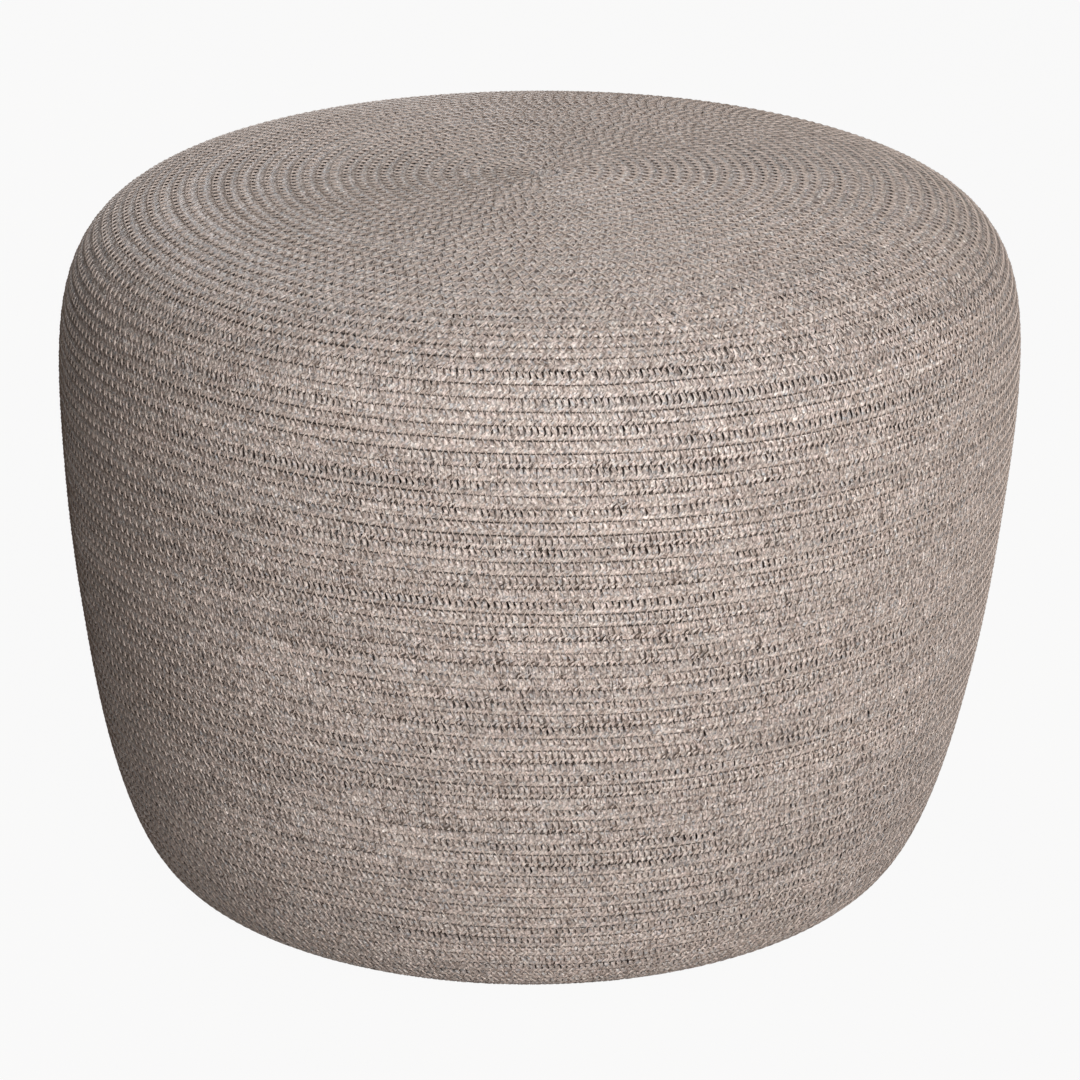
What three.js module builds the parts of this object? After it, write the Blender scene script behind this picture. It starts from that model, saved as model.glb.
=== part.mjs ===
// Round outdoor footstool with a sewn cord cover, in millimetres, +Z up.
// The floor is at zero height and the middle of the seat is over the origin.
import * as THREE from 'three';

// Cover outline
const bellyRadius = 300; // widest half width
const bellyHeight = 321; // height of the widest turn
const seatHeight = 445; // top of the seat
const crownReach = 261; // half width over which the seat curve stays nearly level
const wallFullness = 75; // how far below the belly the wall stays nearly upright
const footRadius = 230; // half width where the cover is lowest
const footSweep = 47; // how far the wall rounds in to its lowest turn
const footClearance = 4; // daylight under the cover
const hemRoll = 16; // width over which the cover rises to its clamped hem
const hemLap = 14; // width of hem held between base plate and flange

// Cord
const cordPitch = 8; // one turn to the next
const cordRelief = 2; // depth of the sewn groove between two turns
const coverThickness = 8;
const coreRadius = 20; // the tightest turns, with the fewest facets
const innerTurnsRadius = 150; // turns on the level of the seat, with half the wall's facets

// Clearances
const seatGap = 0.3; // between pieces that rest on each other
const holeClearance = 0.4; // around a screw's shank
const plateClearance = 3; // between the base plate's edge and the rising hem

// Padding
const seatPadThickness = 40;
const wallPadThickness = 12;

// Frame
const ribCount = 6;
const ribWidth = 30;
const barThickness = 4;
const hoopWidth = 20;
const hoopHeightShares = [0.3, 0.66];
const topRingWidth = 40;
const flangeWidth = 55;

// Boards
const deckThickness = 8;
const plateThickness = 6;
const deckHoleRadius = 9;
const ventRadius = 25;
const drainHoleRadius = 6;
const drainHoleCount = 6;
const drainHoleRadiusShare = 0.5;
const deckHoleRings = [
  { radiusShare: 0, holes: 1 },
  { radiusShare: 0.32, holes: 6 },
  { radiusShare: 0.64, holes: 12 },
];

// Feet and screws
const glideCount = 6;
const glideRadius = 15;
const glideHeight = 5;
const glideChamfer = 1.2;
const glideWellDepth = 3.2; // how deep the screw head is sunk in a glide
const glideEdgeMargin = 5; // board left outside a glide
const screwShankRadius = 2;
const screwHeadRadius = 4.2;
const screwHeadHeight = 2.2;
const screwEndAllowance = 1.5; // shank past a thin bar, or board left over a shank's end
const deckScrewCount = ribCount;
const baseScrewCount = glideCount;

// Facets
const facetsPerRib = 4;
const hullSides = ribCount * facetsPerRib;
const holeSides = 8;
const screwSides = 8;
const glideSides = 12;
const outlineDivisions = { seat: 9, wall: 7, roll: 3, hem: 1 };

const fullTurn = Math.PI * 2;
const facetAngle = fullTurn / hullSides;
const facetShrink = Math.cos(facetAngle / 2); // distance of a facet over that of its corners

// Heights, from the floor up
const plateBottom = glideHeight + seatGap;
const plateTop = plateBottom + plateThickness;
const hemBottom = plateTop + seatGap;
const flangeBottom = hemBottom + coverThickness + seatGap;
const flangeTop = flangeBottom + barThickness;
const wallBottom = flangeTop + seatGap;
const seatPadBottom = seatHeight - coverThickness - seatGap - seatPadThickness;
const deckTop = seatPadBottom - seatGap;
const deckBottom = deckTop - deckThickness;
const ribTop = deckBottom - seatGap;
const topRingBottom = ribTop - barThickness;

// Depths below the outside of the cover
const wallPadDepth = coverThickness + seatGap;
const ribDepth = wallPadDepth + wallPadThickness + seatGap;
const hoopDepth = ribDepth + barThickness + seatGap;

// Radii
const clampRadius = footRadius - hemRoll;
const hemRadius = clampRadius - hemLap;
const plateRadius = clampRadius - plateClearance;
const glideCircle = plateRadius - glideEdgeMargin - glideRadius;

const finishes = {
  cord: { color: 0x9a8b80, roughness: 0.9, metalness: 0 },
  foam: { color: 0x4a4a4c, roughness: 0.95, metalness: 0 },
  board: { color: 0x2c2c2e, roughness: 0.55, metalness: 0 },
  aluminium: { color: 0xb9bcc0, roughness: 0.4, metalness: 0.9 },
  steel: { color: 0xc8cacc, roughness: 0.3, metalness: 1 },
  nylon: { color: 0x1b1b1c, roughness: 0.6, metalness: 0 },
};

// The outside of the cover in section, from the middle of the seat to the edge of the hem
function coverCurves() {
  const seatMiddle = new THREE.Vector2(0, seatHeight);
  const seatHandle = new THREE.Vector2(crownReach, seatHeight);
  const shoulderHandle = new THREE.Vector2(bellyRadius, seatHeight);
  const belly = new THREE.Vector2(bellyRadius, bellyHeight);
  const wallHandle = new THREE.Vector2(bellyRadius, bellyHeight - wallFullness);
  const footHandle = new THREE.Vector2(footRadius + footSweep, footClearance);
  const foot = new THREE.Vector2(footRadius, footClearance);
  const rollHandle = new THREE.Vector2(footRadius - hemRoll / 2, footClearance);
  const riseHandle = new THREE.Vector2(footRadius - hemRoll / 2, hemBottom);
  const clamp = new THREE.Vector2(clampRadius, hemBottom);
  const hemEdge = new THREE.Vector2(hemRadius, hemBottom);
  return {
    seat: new THREE.CubicBezierCurve(seatMiddle, seatHandle, shoulderHandle, belly),
    wall: new THREE.CubicBezierCurve(belly, wallHandle, footHandle, foot),
    roll: new THREE.CubicBezierCurve(foot, rollHandle, riseHandle, clamp),
    hem: new THREE.LineCurve(clamp, hemEdge),
  };
}

function inwardOf(tangent) {
  return new THREE.Vector2(tangent.y, -tangent.x);
}

// Places along the outline that every nested layer shares, so that layers lie parallel
function outlineStations(curves) {
  const stations = [{ point: curves.seat.getPoint(0), inward: inwardOf(curves.seat.getTangent(0)) }];
  for (const [name, divisions] of Object.entries(outlineDivisions)) {
    for (let step = 1; step <= divisions; step += 1) {
      const share = step / divisions;
      const inward = inwardOf(curves[name].getTangent(share));
      stations.push({ point: curves[name].getPoint(share), inward });
    }
  }
  return stations;
}

const curves = coverCurves();
const stations = outlineStations(curves);
const footStation = outlineDivisions.seat + outlineDivisions.wall;
// Radius of the outline's tightest bend, where the wall's curve ends level at the foot
const footRounding = (1.5 * footSweep ** 2) / (bellyHeight - wallFullness - footClearance);

// A layer of the section at a depth below the outside
function layerLine(depth) {
  return stations.map(({ point, inward }) => point.clone().addScaledVector(inward, depth));
}

function crossing(above, below, height) {
  return above.clone().lerp(below, (above.y - height) / (above.y - below.y));
}

// The stretch of a layer between two heights on the seat and wall, from the top down.
// A layer too deep to round the foot drops straight to the lower height.
function layerBetween(depth, low, high) {
  const lastStation = depth < footRounding ? footStation : footStation - 1;
  const line = layerLine(depth).slice(0, lastStation + 1);
  const kept = [];
  line.forEach((point, index) => {
    const above = line[index - 1];
    if (above && above.y > high && point.y <= high) {
      kept.push(crossing(above, point, high));
    }
    if (point.y < high && point.y > low) {
      kept.push(point);
    }
    if (above && above.y > low && point.y <= low) {
      kept.push(crossing(above, point, low));
    }
  });
  const lowest = line[line.length - 1];
  if (lowest.y > low) {
    kept.push(new THREE.Vector2(lowest.x, low));
  }
  return kept;
}

function narrowestRadius(depth, low, high) {
  return Math.min(...layerBetween(depth, low, high).map((point) => point.x));
}

// Solids of revolution whose profile runs up its outer side
function revolve(profile, sides = hullSides) {
  const geometry = new THREE.LatheGeometry(profile, sides, Math.PI / 2);
  return geometry.rotateX(Math.PI / 2);
}

function revolveRing(profile, sides = hullSides) {
  return revolve([...profile, profile[0].clone()], sides);
}

function polygon(centre, radius, sides) {
  const corners = [];
  for (let corner = 0; corner < sides; corner += 1) {
    const angle = corner * (fullTurn / sides);
    corners.push(new THREE.Vector2(Math.cos(angle), Math.sin(angle)).multiplyScalar(radius).add(centre));
  }
  return corners;
}

function onCircle(radius, angle) {
  return new THREE.Vector2(Math.cos(angle) * radius, Math.sin(angle) * radius);
}

// Evenly spaced angles, turned by a share of their spacing
function spacedAngles(count, offsetShare = 0) {
  return Array.from({ length: count }, (_, index) => ((index + offsetShare) * fullTurn) / count);
}

// A flat board or ring with round holes, standing on a height
function board(outerRadius, holes, thickness, bottom) {
  const outline = new THREE.Shape(polygon(new THREE.Vector2(), outerRadius, hullSides));
  for (const { centre, radius, sides } of holes) {
    outline.holes.push(new THREE.Path(polygon(centre, radius, sides ?? holeSides)));
  }
  const geometry = new THREE.ExtrudeGeometry(outline, { depth: thickness, bevelEnabled: false });
  return geometry.translate(0, 0, bottom);
}

function holeCircle(circleRadius, angles, radius) {
  return angles.map((angle) => ({ centre: onCircle(circleRadius, angle), radius }));
}

// The turns of the cord
const outlineCurve = new THREE.CurvePath();
Object.values(curves).forEach((curve) => outlineCurve.add(curve));
const outlineLength = outlineCurve.getLength();

// A point of the cover, a number of facets round from the middle and some depth below the outside
function coverPoint(facets, ridgeShare, depth) {
  const share = Math.min(((facets / hullSides + ridgeShare) * cordPitch) / outlineLength, 1);
  const inward = inwardOf(outlineCurve.getTangent(share));
  const section = outlineCurve.getPoint(share).addScaledVector(inward, depth);
  const plan = onCircle(section.x, facets * facetAngle);
  return { radius: section.x, position: new THREE.Vector3(plan.x, plan.y, section.y) };
}

function facetStride(radius) {
  if (radius < coreRadius) {
    return 4;
  }
  return radius < innerTurnsRadius ? 2 : 1;
}

// Facet counts from one place on the cord to another
function facetSteps(from, to) {
  const steps = [from];
  for (let facets = from; facets < to; ) {
    facets = Math.min(facets + facetStride(coverPoint(facets, 0.5, 0).radius), to);
    steps.push(facets);
  }
  return steps;
}

// Triangles between two lines of vertices, advancing the one that lags behind
function stitch(inner, outer, triangles) {
  let i = 0;
  let o = 0;
  while (i < inner.length - 1 || o < outer.length - 1) {
    const innerIsDone = i === inner.length - 1;
    const outerIsBehind = o < outer.length - 1 && outer[o + 1].facets <= inner[i + 1]?.facets;
    if (innerIsDone || outerIsBehind) {
      triangles.push(inner[i].vertex, outer[o].vertex, outer[o + 1].vertex);
      o += 1;
    } else {
      triangles.push(inner[i].vertex, outer[o].vertex, inner[i + 1].vertex);
      i += 1;
    }
  }
}

// One cord, wound from the middle of the seat to the hem and sewn turn to turn
function cordCover() {
  const positions = [];
  const triangles = [];
  const addVertex = ({ x, y, z }) => positions.push(x, y, z) / 3 - 1;
  const addLine = (steps, ridgeShare, depth) =>
    steps.map((facets) => ({ facets, vertex: addVertex(coverPoint(facets, ridgeShare, depth).position) }));

  const cordEnd = Math.floor((outlineLength / cordPitch - 1) * hullSides);
  const firstSteps = facetSteps(0, hullSides);
  const cordSteps = [...firstSteps, ...facetSteps(hullSides, cordEnd).slice(1)];
  const hemSteps = facetSteps(cordEnd, cordEnd + hullSides);
  const groove = addLine([...cordSteps, ...hemSteps.slice(1)], 0, cordRelief);
  const ridge = addLine(cordSteps, 0.5, 0);
  const nextGroove = groove.slice(firstSteps.length - 1);
  const nextSide = nextGroove.map(({ facets, vertex }) => ({ facets: facets - hullSides, vertex }));
  stitch(groove.slice(0, cordSteps.length), ridge, triangles);
  stitch(ridge, nextSide, triangles);

  // The cord's cut start, in the dimple that its first turn leaves
  for (let step = 1; step < firstSteps.length - 1; step += 1) {
    triangles.push(groove[0].vertex, groove[step].vertex, groove[step + 1].vertex);
  }
  triangles.push(groove[0].vertex, nextGroove[0].vertex, ridge[0].vertex);

  // The cord's tail and the rim of the hem
  const hem = groove.slice(cordSteps.length - 1);
  const tail = { start: hem[0].vertex, end: hem[hem.length - 1].vertex };
  triangles.push(tail.start, ridge[ridge.length - 1].vertex, tail.end);
  const lining = layerLine(coverThickness).reverse();
  const seatLining = lining.pop();
  const liningRings = lining.map((section) =>
    spacedAngles(hullSides).map((angle) => {
      const plan = onCircle(section.x, angle);
      return addVertex(new THREE.Vector3(plan.x, plan.y, section.y));
    }),
  );
  const rim = hemSteps.map((facets) => ({ facets, vertex: liningRings[0][facets % hullSides] }));
  stitch(hem, rim, triangles);
  triangles.push(tail.end, rim[0].vertex, tail.start);

  // The plain inside
  liningRings.slice(1).forEach((ring, index) => {
    const before = liningRings[index];
    for (let corner = 0; corner < hullSides; corner += 1) {
      const next = (corner + 1) % hullSides;
      triangles.push(before[corner], ring[corner], ring[next]);
      triangles.push(before[corner], ring[next], before[next]);
    }
  });
  const seatVertex = addVertex(new THREE.Vector3(0, 0, seatLining.y));
  const lastRing = liningRings[liningRings.length - 1];
  lastRing.forEach((vertex, corner) => {
    triangles.push(vertex, seatVertex, lastRing[(corner + 1) % hullSides]);
  });

  const geometry = new THREE.BufferGeometry();
  geometry.setAttribute('position', new THREE.Float32BufferAttribute(positions, 3));
  geometry.setIndex(triangles);
  geometry.computeVertexNormals();
  return geometry;
}

// Crowned foam on the deck, under the cover
function seatPad() {
  const crown = layerBetween(wallPadDepth, seatPadBottom, seatHeight).reverse();
  return revolve([new THREE.Vector2(0, seatPadBottom), ...crown]);
}

// Foam wrap between the frame and the cover
function wallPad() {
  const outside = layerBetween(wallPadDepth, wallBottom, deckTop).reverse();
  const inside = layerBetween(wallPadDepth + wallPadThickness, wallBottom, deckTop);
  return revolveRing([...outside, ...inside]);
}

// Bent flat bar, flat against one facet of the wall pad
function frameRib() {
  const flatten = (point) => new THREE.Vector2(point.x * facetShrink, point.y);
  const outside = layerBetween(ribDepth, wallBottom, ribTop).reverse().map(flatten);
  const inside = layerBetween(ribDepth + barThickness, wallBottom, ribTop).map(flatten);
  const section = new THREE.Shape([...outside, ...inside]);
  const geometry = new THREE.ExtrudeGeometry(section, { depth: ribWidth, bevelEnabled: false });
  return geometry.rotateX(Math.PI / 2).translate(0, ribWidth / 2, 0);
}

// Flat bar hoop inside the ribs, at a share of the height between flange and top ring
function hoop(heightShare) {
  const bottom = wallBottom + (topRingBottom - wallBottom) * heightShare;
  const outside = layerBetween(hoopDepth, bottom, bottom + hoopWidth).reverse();
  const inside = layerBetween(hoopDepth + barThickness, bottom, bottom + hoopWidth);
  return revolveRing([...outside, ...inside]);
}

// Board and ring under the seat
const topRingRadius = narrowestRadius(hoopDepth, topRingBottom, ribTop);
const deckScrewCircle = topRingRadius - topRingWidth / 2;
const deckScrewAngles = spacedAngles(deckScrewCount, 0.5);
const ribAngles = spacedAngles(ribCount, 0.5 / facetsPerRib);
const shankHoleRadius = screwShankRadius + holeClearance;

function topRing() {
  const opening = { centre: new THREE.Vector2(), radius: topRingRadius - topRingWidth, sides: hullSides };
  const screwHoles = holeCircle(deckScrewCircle, deckScrewAngles, shankHoleRadius);
  return board(topRingRadius, [opening, ...screwHoles], barThickness, topRingBottom);
}

function seatDeck() {
  const radius = narrowestRadius(ribDepth, deckBottom, deckTop);
  const drainHoles = deckHoleRings.flatMap(({ radiusShare, holes }) =>
    holeCircle(radius * radiusShare, spacedAngles(holes), deckHoleRadius),
  );
  const screwHoles = holeCircle(deckScrewCircle, deckScrewAngles, shankHoleRadius);
  return board(radius, [...drainHoles, ...screwHoles], deckThickness, deckBottom);
}

// Base, clamped on the hem
const flangeRadius = narrowestRadius(wallPadDepth, flangeBottom, flangeTop);
const flangeInnerRadius = flangeRadius - flangeWidth;
const baseScrewCircle = (flangeInnerRadius + hemRadius) / 2;
const baseScrewAngles = spacedAngles(baseScrewCount, 0.5);
const glideAngles = spacedAngles(glideCount);

function baseFlange() {
  const opening = { centre: new THREE.Vector2(), radius: flangeInnerRadius, sides: hullSides };
  const screwHoles = holeCircle(baseScrewCircle, baseScrewAngles, shankHoleRadius);
  return board(flangeRadius, [opening, ...screwHoles], barThickness, flangeBottom);
}

function basePlate() {
  const vent = { centre: new THREE.Vector2(), radius: ventRadius, sides: glideSides };
  const drainCircle = plateRadius * drainHoleRadiusShare;
  const drains = holeCircle(drainCircle, spacedAngles(drainHoleCount), drainHoleRadius);
  const screwHoles = holeCircle(baseScrewCircle, baseScrewAngles, shankHoleRadius);
  const glideHoles = holeCircle(glideCircle, glideAngles, shankHoleRadius);
  return board(plateRadius, [vent, ...drains, ...screwHoles, ...glideHoles], plateThickness, plateBottom);
}

// Plastic foot, chamfered at the floor, with its screw head sunk
function glide() {
  const wellRadius = screwHeadRadius + holeClearance;
  return revolveRing(
    [
      new THREE.Vector2(wellRadius, 0),
      new THREE.Vector2(glideRadius - glideChamfer, 0),
      new THREE.Vector2(glideRadius, glideChamfer),
      new THREE.Vector2(glideRadius, glideHeight),
      new THREE.Vector2(shankHoleRadius, glideHeight),
      new THREE.Vector2(shankHoleRadius, glideWellDepth),
      new THREE.Vector2(wellRadius, glideWellDepth),
    ],
    glideSides,
  );
}

// A screw driven up from below, its head under the height that it seats on
function screw(seat, end) {
  const headTop = seat - seatGap;
  return revolve(
    [
      new THREE.Vector2(0, headTop - screwHeadHeight),
      new THREE.Vector2(screwHeadRadius, headTop - screwHeadHeight),
      new THREE.Vector2(screwHeadRadius, headTop),
      new THREE.Vector2(screwShankRadius, headTop),
      new THREE.Vector2(screwShankRadius, end),
      new THREE.Vector2(0, end),
    ],
    screwSides,
  );
}

function deckScrew() {
  return screw(topRingBottom, deckTop - screwEndAllowance);
}

function baseScrew() {
  return screw(plateBottom, flangeTop + screwEndAllowance);
}

function glideScrew() {
  return screw(glideWellDepth, plateTop + screwEndAllowance);
}

const stool = new THREE.Group();

function addPiece(name, geometry, finish, place = new THREE.Vector2(), turn = 0) {
  const mesh = new THREE.Mesh(geometry, new THREE.MeshStandardMaterial(finishes[finish]));
  mesh.name = name;
  mesh.position.set(place.x, place.y, 0);
  mesh.rotation.z = turn;
  stool.add(mesh);
}

function addAround(name, angles, circleRadius, makeGeometry, finish) {
  angles.forEach((angle, index) => {
    addPiece(`${name}_${index + 1}`, makeGeometry(), finish, onCircle(circleRadius, angle), angle);
  });
}

addPiece('cord_cover', cordCover(), 'cord');
addPiece('seat_pad', seatPad(), 'foam');
addPiece('wall_pad', wallPad(), 'foam');
addPiece('seat_deck', seatDeck(), 'board');
addPiece('top_ring', topRing(), 'aluminium');
addPiece('lower_hoop', hoop(hoopHeightShares[0]), 'aluminium');
addPiece('upper_hoop', hoop(hoopHeightShares[1]), 'aluminium');
addPiece('base_flange', baseFlange(), 'aluminium');
addPiece('base_plate', basePlate(), 'board');
addAround('frame_rib', ribAngles, 0, frameRib, 'aluminium');
addAround('glide', glideAngles, glideCircle, glide, 'nylon');
addAround('deck_screw', deckScrewAngles, deckScrewCircle, deckScrew, 'steel');
addAround('base_screw', baseScrewAngles, baseScrewCircle, baseScrew, 'steel');
addAround('glide_screw', glideAngles, glideCircle, glideScrew, 'steel');

export default stool;
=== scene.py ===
import math

import bmesh
import bpy
import numpy as np
from mathutils import Matrix, Vector


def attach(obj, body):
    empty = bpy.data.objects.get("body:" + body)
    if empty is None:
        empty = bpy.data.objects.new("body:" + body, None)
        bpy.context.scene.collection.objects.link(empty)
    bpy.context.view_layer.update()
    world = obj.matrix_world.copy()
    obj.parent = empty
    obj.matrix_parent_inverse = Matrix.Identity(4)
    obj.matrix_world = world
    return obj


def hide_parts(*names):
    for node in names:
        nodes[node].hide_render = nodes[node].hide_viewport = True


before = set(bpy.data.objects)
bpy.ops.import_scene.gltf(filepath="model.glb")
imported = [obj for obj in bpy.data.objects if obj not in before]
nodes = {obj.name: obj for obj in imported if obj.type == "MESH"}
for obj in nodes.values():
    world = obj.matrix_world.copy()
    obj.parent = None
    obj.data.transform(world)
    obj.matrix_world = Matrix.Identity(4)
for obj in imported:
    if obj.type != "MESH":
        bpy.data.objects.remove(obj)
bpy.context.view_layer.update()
scene = bpy.context.scene
print("frame loaded,", len(nodes), "CAD nodes")


# Camera, at the photograph's viewing angle
cameraSetting = {
    "target": (-0.0051, 0.0, 0.2232),
    "distance": 2.592,
    "elevation": 20.77,  # degrees above the horizon
    "roll": 0.144,  # degrees
    "lens": 135.4,
    "sensor": 36.0,
    "shift": (0.0118, -0.0294),
    "farEnd": 60.0,
}


# Place and turn of what looks at a target from a side, both angles in degrees
def lookAt(target, around, up, distance):
    around, up = math.radians(around), math.radians(up)
    level = math.cos(up)
    back = Vector((math.sin(around) * level, -math.cos(around) * level, math.sin(up)))
    turn = (-back).to_track_quat("-Z", "Y").to_matrix().to_4x4()
    return Matrix.Translation(Vector(target) + back * distance) @ turn


def makeCamera():
    data = bpy.data.cameras.new("camera")
    data.lens = cameraSetting["lens"]
    data.sensor_width = cameraSetting["sensor"]
    data.clip_end = cameraSetting["farEnd"]
    data.shift_x, data.shift_y = cameraSetting["shift"]
    camera = bpy.data.objects.new("camera", data)
    place = lookAt(
        cameraSetting["target"], 0.0, cameraSetting["elevation"], cameraSetting["distance"]
    )
    roll = Matrix.Rotation(math.radians(cameraSetting["roll"]), 4, "Z")
    camera.matrix_world = place @ roll
    scene.collection.objects.link(camera)
    scene.camera = camera


makeCamera()
print("camera placed")


# Shader nodes: a wire is a socket that works in Python expressions
class Wire:
    def __init__(self, finish, socket):
        self.finish = finish
        self.socket = socket

    def maths(self, operation, *values):
        return self.finish.node("ShaderNodeMath", {"operation": operation}, dict(enumerate(values)))

    def __add__(self, other):
        return self.maths("ADD", self, other)

    def __radd__(self, other):
        return self.maths("ADD", other, self)

    def __sub__(self, other):
        return self.maths("SUBTRACT", self, other)

    def __rsub__(self, other):
        return self.maths("SUBTRACT", other, self)

    def __mul__(self, other):
        return self.maths("MULTIPLY", self, other)

    def __rmul__(self, other):
        return self.maths("MULTIPLY", other, self)

    def __truediv__(self, other):
        return self.maths("DIVIDE", self, other)

    def whole(self):
        return self.maths("FLOOR", self)

    # From 0 to a half and back over each unit
    def upAndDown(self):
        return self.maths("PINGPONG", self, 0.5)


# The node tree of a new material, or of a new world
class Finish:
    def __init__(self, name, owners=bpy.data.materials):
        self.owner = owners.new(name)
        self.owner.use_nodes = True
        self.tree = self.owner.node_tree
        self.tree.nodes.clear()

    def node(self, kind, settings=None, inputs=None, output=0):
        made = self.tree.nodes.new(kind)
        for key, value in (settings or {}).items():
            if key == "stops":
                elements = made.color_ramp.elements
                while len(elements) < len(value):
                    elements.new(1.0)
                for element, (place, colour) in zip(elements, value):
                    element.position = place
                    element.color = (*colour, 1.0)
            elif key == "blend":
                made.color_ramp.interpolation = value
            else:
                setattr(made, key, value)
        for key, value in (inputs or {}).items():
            if isinstance(value, Wire):
                self.tree.links.new(value.socket, made.inputs[key])
            else:
                made.inputs[key].default_value = value
        return Wire(self, made.outputs[output]) if made.outputs else None

    def objectPlace(self):
        return self.node("ShaderNodeTexCoord", output="Object")

    def along(self, uvMap):
        place = self.node("ShaderNodeUVMap", {"uv_map": uvMap})
        across = self.node("ShaderNodeSeparateXYZ", inputs={0: place}, output=1)
        return self.node("ShaderNodeSeparateXYZ", inputs={0: place}), across

    def point(self, x, y=0.0):
        return self.node("ShaderNodeCombineXYZ", inputs={0: x, 1: y})

    def noise(self, place, scale, detail):
        inputs = {"Vector": place, "Scale": scale, "Detail": detail}
        return self.node("ShaderNodeTexNoise", inputs=inputs)

    def pick(self, first, second):
        inputs = {"Vector": self.point(first, second)}
        return self.node("ShaderNodeTexWhiteNoise", {"noise_dimensions": "2D"}, inputs)

    def blend(self, factor, first, second, mode="MIX"):
        settings = {"data_type": "RGBA", "blend_type": mode}
        return self.node("ShaderNodeMix", settings, {0: factor, 6: first, 7: second}, output=2)

    def ramp(self, factor, stops, blend="LINEAR"):
        return self.node("ShaderNodeValToRGB", {"stops": stops, "blend": blend}, {0: factor})

    def steps(self, value, low, high, lowResult=0.0, highResult=1.0):
        inputs = {0: value, 1: low, 2: high, 3: lowResult, 4: highResult}
        return self.node("ShaderNodeMapRange", {"interpolation_type": "SMOOTHSTEP"}, inputs)

    def surface(self, inputs, height=None, bump=None):
        inputs = dict(inputs)
        if height is not None:
            values = {"Height": height, "Strength": bump[0], "Distance": bump[1]}
            inputs["Normal"] = self.node("ShaderNodeBump", inputs=values)
        shader = self.node("ShaderNodeBsdfPrincipled", inputs=inputs)
        self.node("ShaderNodeOutputMaterial", inputs={"Surface": shader})
        return self.owner


# A screen colour, from 0 to 255, as the shaders take it
def asColour(red, green, blue):
    def linear(value):
        value = value / 255
        return value / 12.92 if value <= 0.04045 else ((value + 0.055) / 1.055) ** 2.4

    return (linear(red), linear(green), linear(blue))


# Outline of the cover: radius and height of its outside, from the seat's centre to the hem's edge
coverShape = {
    "curves": [
        [(0.0, 0.445), (0.261, 0.445), (0.300, 0.445), (0.300, 0.321)],
        [(0.300, 0.321), (0.300, 0.246), (0.277, 0.004), (0.230, 0.004)],
        [(0.230, 0.004), (0.222, 0.004), (0.222, 0.0116), (0.214, 0.0116)],
        [(0.214, 0.0116), (0.209, 0.0116), (0.205, 0.0116), (0.200, 0.0116)],
    ],
    "samples": 2001,  # of each curve
    "lean": 0.0205,  # sideways share of the height, as the soft cover sits
    "middleHeight": 0.2232,
    "proud": 0.0014,  # how far the cords stand up on the seat
    "swell": 0.0004,  # unevenness of the stuffing under the cords
    "swells": [(2, 26, 0.0), (3, -17, 1.3), (0, 9, 0.4)],  # its waves: round, along, start
    "softFrom": 0.03,  # height at which the cover begins to be soft, and over how much
    "softOver": 0.06,
}


def sampleOutline():
    share = np.linspace(0.0, 1.0, coverShape["samples"])[:, None]
    rest = 1 - share
    parts = []
    for curve in coverShape["curves"]:
        a, b, c, d = (np.array(point) for point in curve)
        parts.append(rest**3 * a + 3 * rest**2 * share * b + 3 * rest * share**2 * c + share**3 * d)
    line = np.vstack([parts[0]] + [part[1:] for part in parts[1:]])
    way = np.concatenate([[0.0], np.cumsum(np.linalg.norm(np.diff(line, axis=0), axis=1))])
    heading = np.gradient(line, way, axis=0)
    heading /= np.linalg.norm(heading, axis=1)[:, None]
    return {
        "way": way,
        "radius": line[:, 0],
        "height": line[:, 1],
        "out": -heading[:, 1],
        "up": heading[:, 0],
    }


outline = sampleOutline()
outlineLength = float(outline["way"][-1])


def alongOutline(way, name):
    return np.interp(way, outline["way"], outline[name])


def leaned(x, y, z):
    return np.stack([x + coverShape["lean"] * (z - coverShape["middleHeight"]), y, z], axis=-1)


# Place on the cover, a depth under its outside
def onCover(way, depth, angle):
    soft = (alongOutline(way, "height") - coverShape["softFrom"]) / coverShape["softOver"]
    soft = np.clip(soft, 0, 1)
    swell = 1.0
    for turned, run, start in coverShape["swells"]:
        swell = swell * np.sin(turned * angle + run * way + start)
    depth = depth - coverShape["swell"] * soft * swell
    depth = depth - coverShape["proud"] * soft * alongOutline(way, "up") ** 2
    radius = alongOutline(way, "radius") - alongOutline(way, "out") * depth
    height = alongOutline(way, "height") - alongOutline(way, "up") * depth
    return leaned(radius * np.cos(angle), radius * np.sin(angle), height)


# Smooth random line along the cord, from 0 to 1
driftCount = 4096


def drift(length, reach, seed):
    values = np.random.default_rng(seed).random(driftCount)
    place = length / reach
    whole = np.floor(place).astype(int)
    part = place - whole
    part = part * part * (3 - 2 * part)
    return values[whole % driftCount] * (1 - part) + values[(whole + 1) % driftCount] * part


# A grid rolled into a closed tube. The functions take steps along and around: place gives the
# points, wayAt the map that the finish reads, and openAt how far the groove is open, which sets how
# much shade the finish paints into it. The second map lays the tube out in rows, for baking.
tubeSetting = {"mapMargin": 0.001, "weld": 1e-7}


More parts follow.
